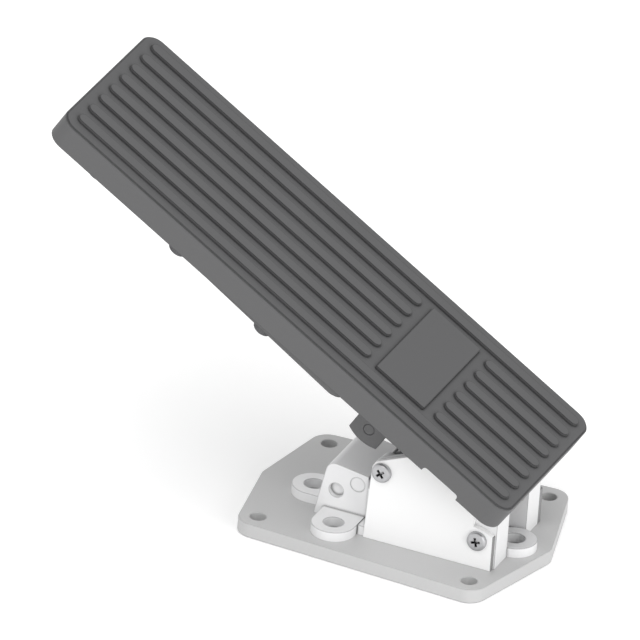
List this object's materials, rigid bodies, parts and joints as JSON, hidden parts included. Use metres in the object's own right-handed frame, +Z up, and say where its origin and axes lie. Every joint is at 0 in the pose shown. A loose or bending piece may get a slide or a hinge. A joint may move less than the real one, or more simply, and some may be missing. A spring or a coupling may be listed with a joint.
{
  "type": "accelerator pedal",
  "caption": "Floor-mounted treadle accelerator pedal: a ribbed foot plate hinged at its heel on a cast bracket, with return springs and a position sensor, on a flat base plate.",
  "frame": {"origin": "centre of the four floor holes, on the underside of the base plate", "axes": "+X along the base plate towards the heel end, +Y across it towards the sensor side, +Z up from the floor"},
  "size_m": [0.2227, 0.1037, 0.1773],
  "materials": {
    "base_plate": "grey painted steel plate",
    "cast_bracket": "pale die casting, satin",
    "zinc_screw": "zinc plated",
    "white_cover": "smooth white moulding",
    "pale_plastic": "natural bearing plastic",
    "dark_plastic": "dark glass-filled moulding",
    "stop_rubber": "matt black rubber",
    "board": "lacquered circuit board",
    "contact_brass": "plain contact metal",
    "spring_steel": "drawn spring wire",
    "treadle_moulding": "dark grey moulding, fine grain",
    "pad_rubber": "dark grey rubber with smooth raised ribs",
    "dark_steel": "dark coated pressed steel",
    "dark_screw": "blackened steel",
    "shaft_steel": "ground steel"
  },
  "bodies": {
    "base": {"base_plate": "base_plate", "pedal_bracket": "cast_bracket", "base_screws": "zinc_screw", "tower_pin": "cast_bracket", "side_cover": "white_cover", "cover_screw_rear": "zinc_screw", "cover_screw_front": "zinc_screw", "hinge_bush_near": "pale_plastic", "hinge_bush_far": "pale_plastic", "hinge_washer": "pale_plastic", "lower_spring_seat": "dark_plastic", "idle_stop": "stop_rubber", "sensor_housing": "dark_plastic", "sensor_lid": "dark_plastic", "circuit_board": "board", "contact_pins": "contact_brass", "sensor_screw_rear": "zinc_screw", "sensor_screw_front": "zinc_screw", "return_spring_outer": "spring_steel", "return_spring_inner": "spring_steel"},
    "treadle": {"treadle_body": "treadle_moulding", "treadle_pad": "pad_rubber", "stiffener_pan": "dark_steel", "pan_screws": "dark_screw", "hinge_carrier": "dark_steel", "carrier_rivets": "zinc_screw", "lug_pin": "dark_steel", "upper_spring_seat": "dark_plastic", "hinge_shaft": "shaft_steel", "hinge_tube": "shaft_steel", "spacer_near": "shaft_steel", "spacer_far": "shaft_steel", "retaining_ring": "spring_steel", "sensor_rotor": "pale_plastic"}
  },
  "joints": [
    {"name": "treadle_hinge", "type": "hinge", "parent": "base", "child": "treadle", "pos_m": [0.0464, -0.0062, 0.0379], "axis": [0, -1, 0], "range_deg": [0, 13.9], "stiffness_Nm_per_rad": 8, "springref_deg": -17.19, "deforming": ["return_spring_outer", "return_spring_inner"]}
  ]
}
